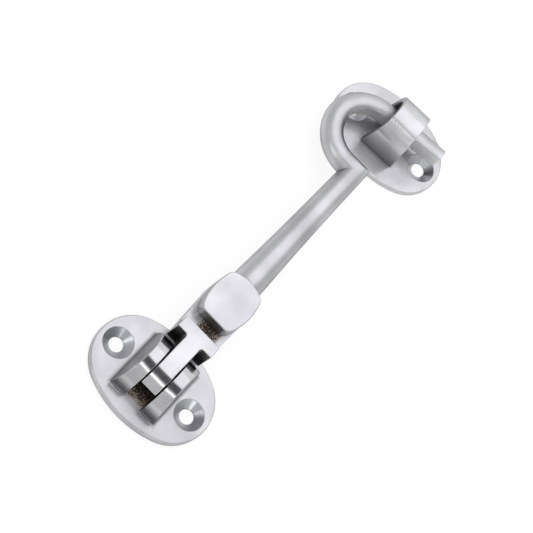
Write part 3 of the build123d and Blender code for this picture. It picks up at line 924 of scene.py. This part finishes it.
def cast_recess(name, finish, axis, middle, bare_from, bare_to, rub):
    """Skin of the sand casting where no polishing wheel reaches, thinly plated over brown brass.

    The eye sees rough grains, black in the hollows and copper on the crests, that grow paler and
    give way to polished chrome in a ragged line where the wheel just reaches.
    """
    material, add = new_material(name)
    place = add("ShaderNodeTexCoord", out="Object")
    # Sand grains are about 0.3 mm across, and are drawn a little coarser so that they show
    grain, lump, ragged_by, rubbed_over = 0.42 * MM, 1.5 * MM, 1.2 * MM, 3.0 * MM
    grains = add("ShaderNodeTexNoise", {
        "Vector": place, "Scale": 1 / grain, "Detail": 2.0, "Roughness": 0.55,
    }, "Fac")
    lumps = add("ShaderNodeTexNoise", {
        "Vector": place, "Scale": 1 / lump, "Detail": 3.0, "Roughness": 0.6,
    }, "Fac")
    across = add("ShaderNodeSeparateXYZ", {"Vector": place}, axis)
    across = add("ShaderNodeMath", {0: across, 1: middle}, "Value", operation="SUBTRACT")
    aside = add("ShaderNodeMath", {0: across}, "Value", operation="ABSOLUTE")
    ragged = add("ShaderNodeMath", {
        0: lumps, 1: ragged_by, 2: aside,
    }, "Value", operation="MULTIPLY_ADD")
    polished = add("ShaderNodeMapRange", {
        "Value": ragged, "From Min": bare_from, "From Max": bare_to,
    }, "Result", interpolation_type="SMOOTHSTEP")
    # Grains are worn brighter before the polished edge
    rub_and_shade_lift = add("ShaderNodeMapRange", {
        "Value": ragged, "From Min": bare_from - rubbed_over, "From Max": bare_to,
        "To Min": -0.05, "To Max": rub,
    }, "Result")
    shown = add("ShaderNodeMath", {0: grains, 1: rub_and_shade_lift}, "Value", operation="ADD")
    ramp = add("ShaderNodeValToRGB", {"Fac": shown})
    stops = ramp.color_ramp.elements
    stops[0].position, stops[0].color = 0.42, finish.cast_oxide_and_shade
    stops[1].position, stops[1].color = 0.68, finish.cast_light
    stops.new(0.54).color = finish.cast_mid
    colour = add("ShaderNodeMix", {
        MIX_FACTOR: polished, MIX_A: ramp.outputs["Color"], MIX_B: finish.chrome_deep,
    }, MIX_RESULT, data_type="RGBA")
    gloss, metal, height = (
        add("ShaderNodeMapRange", {"Value": polished, "To Min": bare, "To Max": buffed}, "Result")
        for bare, buffed in ((0.55, finish.plate_rough), (0.5, finish.plate_metal), (1.0, 0.05))
    )
    skin = add("ShaderNodeMath", {0: grains, 1: height}, "Value", operation="MULTIPLY")
    rough = add("ShaderNodeBump", {"Height": skin, "Strength": 0.9, "Distance": 0.2 * MM}, "Normal")
    shader = add("ShaderNodeBsdfPrincipled", {
        "Base Color": colour, "Roughness": gloss, "Normal": rough, "Metallic": metal,
    }, "BSDF")
    add("ShaderNodeOutputMaterial", {"Surface": shader})
    return material


def gap_shade_chrome(name, finish, low, high):
    """Chrome on faces that face into a gap, darkened by painted shade.

    The eye sees a dull, nearly black grey, faintly mottled, that grows lighter towards the top; the
    near black and the lightening towards the top are painted shade.
    """
    material, add = new_material(name)
    place = add("ShaderNodeTexCoord", out="Object")
    # The cast skin's mottling is about 0.5 mm across
    mottle_width = 0.5 * MM
    mottle = add("ShaderNodeTexNoise", {
        "Vector": place, "Scale": 1 / mottle_width, "Detail": 3.0, "Roughness": 0.6,
    }, "Fac")
    height = add("ShaderNodeSeparateXYZ", {"Vector": place}, "Z")
    # Painted shade: the face lightens from nearly black towards the top
    risen = add("ShaderNodeMapRange", {
        "Value": height, "From Min": low, "From Max": high, "To Min": 0.1, "To Max": 1.6,
    }, "Result", interpolation_type="SMOOTHSTEP")
    # The mottle and the painted shade together set how far the colour rises from near black
    plated = add("ShaderNodeMath", {0: mottle, 1: risen}, "Value", operation="MULTIPLY")
    colour = add("ShaderNodeMix", {
        MIX_FACTOR: plated, MIX_A: finish.cast_oxide_and_shade, MIX_B: scaled(finish.chrome_shade, 3.0),
    }, MIX_RESULT, data_type="RGBA")
    gloss = add("ShaderNodeMapRange", {"Value": mottle, "To Min": 0.28, "To Max": 0.45}, "Result")
    skin = add("ShaderNodeBump", {
        "Height": mottle, "Strength": 0.4, "Distance": 0.08 * MM,
    }, "Normal")
    shader = add("ShaderNodeBsdfPrincipled", {
        "Base Color": colour, "Roughness": gloss, "Normal": skin, "Metallic": 0.9,
    }, "BSDF")
    add("ShaderNodeOutputMaterial", {"Surface": shader})
    return material


def drawn_steel(name, finish, turn):
    """Plain steel pin, drawn to size and cropped.

    The eye sees a mid grey with fine lines along the pin and a duller, faintly mottled end.
    """
    material, add = new_material(name)
    place = add("ShaderNodeTexCoord", out="Object")
    # Draw lines are about 0.1 mm wide
    line_width, line_length = 0.12 * MM, 5.0 * MM
    drawn = add("ShaderNodeMapping", {
        "Vector": place, "Rotation": turn,
        "Scale": (1 / line_width, 1 / line_width, 1 / line_length),
    }, "Vector")
    lines = add("ShaderNodeTexNoise", {
        "Vector": drawn, "Scale": 1.0, "Detail": 3.0, "Roughness": 0.6,
    }, "Fac")
    colour = add("ShaderNodeMix", {
        MIX_FACTOR: lines, MIX_A: scaled(finish.steel, 0.6), MIX_B: finish.steel,
    }, MIX_RESULT, data_type="RGBA")
    gloss = add("ShaderNodeMapRange", {"Value": lines, "To Min": 0.28, "To Max": 0.5}, "Result")
    marks = add("ShaderNodeBump", {
        "Height": lines, "Strength": 0.2, "Distance": 0.02 * MM,
    }, "Normal")
    shader = add("ShaderNodeBsdfPrincipled", {
        "Base Color": colour, "Roughness": gloss, "Normal": marks, "Metallic": 1.0,
    }, "BSDF")
    add("ShaderNodeOutputMaterial", {"Surface": shader})
    return material


def in_countersink(plates, x, y, z):
    """Whether a point, in its plate's own frame, lies on the cone or wall of a screw hole."""
    from_axis = math.hypot(x, abs(y) - plates.screw_spacing / 2)
    return from_axis < plates.countersink / 2 - 2 * HAIR and NEAR < z < plates.thickness - 2 * HAIR


class CABINHOOK_OT_base(bpy.types.Operator):
    """Model the base: oval plate, two ears, countersunk holes and rough slot floor"""
    bl_idname = "cabin_hook.base"
    bl_label = "Base"

    def execute(self, context):
        scene = context.scene
        plates, ears, link = scene.hook_plates, scene.hook_ears, scene.hook_link
        half_slot = ears.slot / 2
        pin = AXIS_Z * ears.pin_height
        base = as_object("base_casting", plate_blank(plates))
        floor_z = plates.thickness - ears.slot_floor
        slot = block((-ears.radius, -half_slot, floor_z), (ears.radius, half_slot, ears.top))
        # The floor rises to the plate's face at the front
        for vert in slot.verts:
            if vert.co.x < 0 and vert.co.z < plates.thickness:
                vert.co.z = plates.thickness + 2 * MERGE
        work(base, "DIFFERENCE", slot)
        relief = (nose_point(ears, link) - pin).length + link.nose_play
        across = AXIS_Y * half_slot
        work(base, "DIFFERENCE", rod(pin - across, pin + across, relief, steps=120))
        work(base, "UNION", ear_pair(plates, ears))
        pin_hole = rod(pin - AXIS_Y * ears.foot_width, pin + AXIS_Y * ears.pin_end, ears.pin / 2)
        work(base, "DIFFERENCE", pin_hole)
        for side in (-1, 1):
            work(base, "DIFFERENCE", countersink(plates, side))

        def choose(face):
            x, y, z = face.center
            if in_countersink(plates, x, y, z):
                return "countersink"
            in_slot = abs(y) < half_slot - NEAR and abs(x) < ears.radius
            if in_slot and ROOT / 2 < z < plates.thickness - HAIR / 2:
                return "slot"
            sideways = abs(face.normal.y) > LEANING
            if sideways and abs(y) < half_slot + NEAR and z > plates.thickness:
                return "gap"
            in_foot = z < plates.thickness + ears.foot_round and face.normal.z > ears.foot_buffed
            if z < plates.thickness + HAIR or in_foot:
                return "plate"
            return "cheek" if sideways else "crown"

        finish = scene.hook_finish
        finish_faces(base, {
            "plate": satin_chrome(
                "satin_chrome_base", finish, turn=math.pi / 2, roughness=finish.plate_rough,
                shade_within=1.0 * MM, tones=(finish.plate_deep, finish.plate_light),
                metal=finish.plate_metal,
            ),
            "countersink": turned_countersink(
                "turned_countersink_base", plates, finish, place_of_plate=(0.0, 0.0, 0.0), turn=0.0,
            ),
            "slot": cast_recess(
                "cast_brass_slot", finish, axis="X", middle=0.0, bare_from=8.5 * MM,
                bare_to=9.9 * MM, rub=0.24,
            ),
            # Painted shade: the crowns darken below 9 mm and lighten again at their very foot
            "crown": satin_chrome(
                "satin_chrome_ears", finish, turn=math.pi / 2, roughness=finish.crown_rough,
                shade_within=1.2 * MM, foot=(5.5 * MM, 9.0 * MM, 0.12),
                foot_shade_lift=(2.4 * MM, 4.6 * MM),
            ),
            # Painted shade: the cheeks darken towards the plate
            "cheek": satin_chrome(
                "satin_chrome_cheeks", finish, turn=0.0, roughness=finish.arm_rough,
                shade_within=2.0 * MM, foot=(plates.thickness, plates.thickness + 7.0 * MM, 0.5),
            ),
            # Painted shade: the faces into the slot are near black, lighter towards the top
            "gap": gap_shade_chrome(
                "gap_shade_chrome_ears", finish, low=ears.top - 4.0 * MM,
                high=ears.top + 10.0 * MM,
            ),
        }, choose)
        soften(base, finish.edge_round)
        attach(base, "base")
        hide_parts("base_plate")
        return {"FINISHED"}


class CABINHOOK_OT_link(bpy.types.Operator):
    """Model the link: round-nosed tongue, cross bar and the lug under the arm's head"""
    bl_idname = "cabin_hook.link"
    bl_label = "Link"

    def execute(self, context):
        scene = context.scene
        ears, sizes, arm = scene.hook_ears, scene.hook_link, scene.hook_arm
        half_tongue = sizes.tongue / 2
        link = as_object("link_casting", link_blank(sizes))
        work(link, "UNION", lug_blank(sizes, arm))
        work(link, "INTERSECT", link_side(ears, sizes))
        pin, across = AXIS_Z * ears.pin_height, AXIS_Y * sizes.bar_width
        work(link, "DIFFERENCE", rod(pin - across, pin + across, ears.pin / 2 + sizes.play))
        work(link, "DIFFERENCE", pin_seat(sizes, ears, arm))

        def choose(face):
            x, y, z = face.center
            normal = face.normal
            if abs(z - sizes.lap) < NEAR and normal.z > FACING:
                return "lap"
            if abs(normal.y) > FACING and abs(y) < half_tongue + HAIR:
                return "tongue"
            by_bar = abs(x - sizes.bar_near) < sizes.bar_round and abs(y) > half_tongue - HAIR
            upright, to_base = abs(normal.z) < 0.5, normal.x < -0.1
            return "notch" if by_bar and upright and to_base else "link"

        finish = scene.hook_finish
        finish_faces(link, {
            "link": satin_chrome(
                "satin_chrome_link", finish, turn=0.0, roughness=finish.crown_rough,
                shade_within=2.0 * MM,
            ),
            "lap": cast_recess(
                "cast_brass_recess", finish, axis="Y", middle=-1.2 * MM, bare_from=3.2 * MM,
                bare_to=4.9 * MM, rub=0.1,
            ),
            # Painted shade: the bar's faces in the notches are near black, lighter towards the top
            "notch": gap_shade_chrome(
                "gap_shade_chrome_link", finish, low=7.0 * MM, high=sizes.top,
            ),
            # Painted shade: the tongue's sides between the ears are near black, lighter towards the
            # top
            "tongue": gap_shade_chrome(
                "gap_shade_chrome_tongue", finish, low=sizes.top - 4.0 * MM,
                high=sizes.top + 10.0 * MM,
            ),
        }, choose)
        soften(link, sizes.edge_round)
        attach(link, "link")
        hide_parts("link")
        return {"FINISHED"}


class CABINHOOK_OT_arm(bpy.types.Operator):
    """Model the arm: flat head, tapered shank, mitred elbow and curled hook"""
    bl_idname = "cabin_hook.arm"
    bl_label = "Arm"

    def execute(self, context):
        scene = context.scene
        link, sizes = scene.hook_link, scene.hook_arm
        arm = as_object("arm_casting", shank_and_hook(sizes))
        work(arm, "UNION", head_blank(link, sizes))
        work(arm, "DIFFERENCE", block(
            (0, -sizes.near, -OVER), (sizes.shoulder, sizes.near, sizes.bottom),
        ))
        work(arm, "DIFFERENCE", hook_flat(sizes))
        work(arm, "DIFFERENCE", elbow_corner(sizes))
        work(arm, "DIFFERENCE", rod(
            (sizes.pin_x, 0, -OVER), (sizes.pin_x, 0, sizes.pin_hole_top), sizes.pin / 2,
        ))

        def choose(face):
            x, _, z = face.center
            if face.normal.x < -FACING and x < sizes.pin_x - sizes.near + 2 * NEAR:
                return "head_end"
            if x > sizes.elbow_x and abs(face.normal.z) < SQUARE:
                return "flat"
            return "head_top" if z > link.top - NEAR else "arm"

        finish = scene.hook_finish
        finish_faces(arm, {
            "arm": satin_chrome(
                "satin_chrome_arm", finish, turn=0.0, roughness=finish.arm_rough,
                shade_within=2.0 * MM, tones=(finish.arm_deep, finish.arm_light),
            ),
            # Painted shade: the head's end face towards the link is near black, lighter towards the
            # top
            "head_end": gap_shade_chrome(
                "gap_shade_chrome_head", finish, low=sizes.bottom - 4.0 * MM, high=link.top,
            ),
            # Painted reflection: the flat's light tone stands in for the bright surroundings it
            # mirrors
            "flat": satin_chrome(
                "satin_chrome_flat", finish, turn=0.0, roughness=finish.flat_rough,
                shade_within=1.0 * MM, tones=(finish.chrome_light, finish.ground_flat_sheen),
            ),
            "head_top": satin_chrome(
                "satin_chrome_head", finish, turn=0.0, roughness=finish.arm_rough,
                shade_within=2.0 * MM,
            ),
        }, choose)
        corner_y = (sizes.elbow_round - sizes.elbow_radius) / 2
        soften(arm, finish.edge_round, lambda spot: spot.x > sizes.elbow_x and spot.y < corner_y)
        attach(arm, "arm")
        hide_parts("hook_arm")
        return {"FINISHED"}


class CABINHOOK_OT_eye(bpy.types.Operator):
    """Model the eye: oval plate with its arched staple band and countersunk holes"""
    bl_idname = "cabin_hook.eye"
    bl_label = "Eye"

    def execute(self, context):
        scene = context.scene
        plates = scene.hook_plates
        eye = as_object("eye_casting", plate_blank(plates))
        work(eye, "UNION", staple_band(plates, scene.hook_band))
        for side in (-1, 1):
            work(eye, "DIFFERENCE", countersink(plates, side))

        def choose(face):
            if in_countersink(plates, *face.center):
                return "countersink"
            return "staple" if face.center.z > plates.thickness + HAIR else "plate"

        finish = scene.hook_finish
        place = (plates.eye_reach, plates.eye_offset, 0.0)
        finish_faces(eye, {
            "plate": satin_chrome(
                "satin_chrome_eye", finish, turn=math.pi / 2 - plates.eye_turn,
                roughness=finish.plate_rough, shade_within=1.5 * MM,
                tones=(finish.plate_deep, finish.plate_light), metal=finish.plate_metal,
            ),
            "countersink": turned_countersink(
                "turned_countersink_eye", plates, finish, place_of_plate=place,
                turn=plates.eye_turn,
            ),
            # Painted reflection: the staple darkens towards the plate, where it would mirror dark
            # surroundings
            "staple": satin_chrome(
                "satin_chrome_staple", finish, turn=-plates.eye_turn, roughness=finish.staple_rough,
                shade_within=1.5 * MM, foot=(plates.thickness, plates.thickness + 13.0 * MM, 0.3),
            ),
        }, choose)
        eye.data.transform(Matrix.Translation(place) @ Matrix.Rotation(plates.eye_turn, 4, "Z"))
        soften(eye, finish.edge_round)
        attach(eye, "eye")
        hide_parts("eye_plate")
        return {"FINISHED"}


class CABINHOOK_OT_pins(bpy.types.Operator):
    """Finish the two pins, which keep the shape of their solids"""
    bl_idname = "cabin_hook.pins"
    bl_label = "Pins"

    def execute(self, context):
        finish = context.scene.hook_finish
        for node, turn in (("base_pin", (math.pi / 2, 0.0, 0.0)), ("link_pin", (0.0, 0.0, 0.0))):
            steel = drawn_steel("drawn_steel_" + node, finish, turn)
            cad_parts[node].material_slots[0].material = steel
        return {"FINISHED"}


class CABINHOOK_OT_stage(bpy.types.Operator):
    """Lay the floor and set up the studio's light and camera"""
    bl_idname = "cabin_hook.stage"
    bl_label = "Stage"

    def execute(self, context):
        scene = context.scene
        studio = scene.hook_studio
        self.lay_floor(studio)
        self.set_world(scene, studio)
        softbox_place, origin = Vector(studio.softbox_place), Vector()
        softbox = self.hang_light(
            "softbox", softbox_place, softbox_place * Vector((1, 1, 0)), studio.softbox_size,
            studio.softbox_level,
        )
        softbox.data.color = studio.softbox_tint[:3]
        self.hang_flag("softbox_back", softbox_place + AXIS_Z * OVER, studio.softbox_size, studio)
        self.hang_flag("camera_flag", studio.flag_place, studio.flag_size, studio)
        left, back, up = studio.side_place
        for name, place, extent, level in (
            ("strip_light", studio.camera_place, studio.strip_size, studio.strip_level),
            ("far_light", studio.far_place, studio.far_size, studio.far_level),
            ("side_light_near", (-back, left, up), studio.side_size, studio.side_level),
            ("side_light_far", (-back, -left, up), studio.side_size, studio.side_level),
        ):
            self.hang_light(name, place, origin, extent, level)
        middle = AXIS_X * (cad_box[0].x + cad_box[1].x) / 2
        fill = self.hang_light(
            "fill", middle + AXIS_Z * studio.fill_height, middle, studio.fill_size,
            studio.fill_level,
        )
        fill.visible_glossy = False
        self.set_camera(scene, studio)
        scene.view_settings.view_transform = "Standard"
        return {"FINISHED"}

    def lay_floor(self, studio):
        """Pale painted floor just under the plates."""
        bm = bmesh.new()
        bmesh.ops.create_grid(bm, x_segments=1, y_segments=1, size=studio.floor_reach)
        bmesh.ops.translate(bm, vec=-AXIS_Z * studio.floor_gap, verts=bm.verts)
        floor = as_object("studio_floor", bm)
        material, add = new_material("matt_white_paint")
        paint = add("ShaderNodeBsdfDiffuse", {"Color": studio.floor, "Roughness": 1.0}, "BSDF")
        white = hex_colour("#FFFFFF")
        glow = add("ShaderNodeEmission", {"Color": white, "Strength": 1.0}, "Emission")
        ray = add("ShaderNodeLightPath").outputs
        seen = ray["Is Camera Ray"]
        for kind in ("Is Glossy Ray", "Is Transmission Ray"):
            seen = add("ShaderNodeMath", {
                0: seen, 1: ray[kind],
            }, "Value", operation="ADD", use_clamp=True)
        amount = add("ShaderNodeMath", {
            0: seen, 1: studio.floor_glow,
        }, "Value", operation="MULTIPLY")
        mixed = add("ShaderNodeMixShader", {0: amount, 1: paint, 2: glow}, "Shader")
        add("ShaderNodeOutputMaterial", {"Surface": mixed})
        floor.data.materials.append(material)

    def set_world(self, scene, studio):
        """Pale walls all round."""
        world = bpy.data.worlds.new("studio")
        world.use_nodes = True
        world.node_tree.nodes.clear()
        add = partial(add_node, world.node_tree)
        sky = add("ShaderNodeBackground", {"Color": studio.wall, "Strength": 1.0}, "Background")
        add("ShaderNodeOutputWorld", {"Surface": sky})
        scene.world = world

    def hang_light(self, name, place, target, extent, level):
        """Hang an area light that looks at a target, as bright as its level seen from there."""
        lamp = bpy.data.lights.new(name, "AREA")
        lamp.shape = "RECTANGLE"
        lamp.size, lamp.size_y = extent
        lamp.energy = level * math.pi * extent[0] * extent[1]
        holder = bpy.data.objects.new(name, lamp)
        bpy.context.scene.collection.objects.link(holder)
        back = (Vector(place) - target).normalized()
        across = AXIS_Y.cross(back).normalized()
        turn = Matrix((across, back.cross(across), back)).transposed()
        holder.matrix_world = Matrix.Translation(place) @ turn.to_4x4()
        holder.visible_camera = False
        return holder

    def hang_flag(self, name, place, extent, studio):
        """Hang a dark cloth that only reflections show."""
        bm = bmesh.new()
        bmesh.ops.create_grid(bm, x_segments=1, y_segments=1, size=0.5)
        bmesh.ops.scale(bm, vec=(*extent, 1.0), verts=bm.verts)
        bmesh.ops.translate(bm, vec=place, verts=bm.verts)
        cloth = as_object(name, bm)
        material, add = new_material("black_cloth_" + name)
        dark = add("ShaderNodeEmission", {"Color": studio.flag, "Strength": 1.0}, "Emission")
        add("ShaderNodeOutputMaterial", {"Surface": dark})
        cloth.data.materials.append(material)
        cloth.visible_camera = False
        cloth.visible_diffuse = False
        cloth.visible_shadow = False

    def set_camera(self, scene, studio):
        """Stand the camera where the picture was taken from."""
        azimuth, tilt, roll = studio.camera_azimuth, studio.camera_tilt, studio.camera_roll
        outward = Vector((math.cos(azimuth), math.sin(azimuth), 0.0))
        back = math.sin(tilt) * outward + math.cos(tilt) * AXIS_Z
        right = AXIS_Z.cross(outward)
        up = back.cross(right)
        across = math.cos(roll) * right + math.sin(roll) * up
        above = math.cos(roll) * up - math.sin(roll) * right
        lens = bpy.data.cameras.new("camera")
        lens.lens = studio.lens
        lens.sensor_width = SENSOR
        lens.clip_start = 10 * MM
        camera = bpy.data.objects.new("camera", lens)
        scene.collection.objects.link(camera)
        turn = Matrix((across, above, back)).transposed().to_4x4()
        camera.matrix_world = Matrix.Translation(studio.camera_place) @ turn
        scene.camera = camera


class CABINHOOK_PT_panel(bpy.types.Panel):
    """Sidebar panel that lists the pieces and the stage"""
    bl_idname = "CABINHOOK_PT_panel"
    bl_label = "Cabin Hook"
    bl_space_type = "VIEW_3D"
    bl_region_type = "UI"
    bl_category = "Cabin Hook"

    def draw(self, context):
        for name in STEPS:
            self.layout.operator("cabin_hook." + name)
        for setting in SETTINGS:
            group = getattr(context.scene, setting)
            box = self.layout.box()
            box.label(text=setting.replace("_", " "))
            for prop in group.bl_rna.properties:
                if prop.identifier not in ("rna_type", "name"):
                    box.prop(group, prop.identifier)


STEPS = ("base", "link", "arm", "eye", "pins", "stage")
SETTINGS = {
    "hook_plates": CabinHookPlates,
    "hook_ears": CabinHookEars,
    "hook_link": CabinHookLink,
    "hook_arm": CabinHookArm,
    "hook_band": CabinHookBand,
    "hook_finish": CabinHookFinish,
    "hook_studio": CabinHookStudio,
}
CLASSES = (
    *SETTINGS.values(),
    CABINHOOK_OT_base,
    CABINHOOK_OT_link,
    CABINHOOK_OT_arm,
    CABINHOOK_OT_eye,
    CABINHOOK_OT_pins,
    CABINHOOK_OT_stage,
    CABINHOOK_PT_panel,
)


def register():
    for cls in CLASSES:
        bpy.utils.register_class(cls)
    for setting, group in SETTINGS.items():
        setattr(bpy.types.Scene, setting, PointerProperty(type=group))


def unregister():
    for setting in SETTINGS:
        delattr(bpy.types.Scene, setting)
    for cls in reversed(CLASSES):
        bpy.utils.unregister_class(cls)


def main():
    register()
    for name in STEPS:
        getattr(bpy.ops.cabin_hook, name)()


if __name__ == "__main__":
    main()
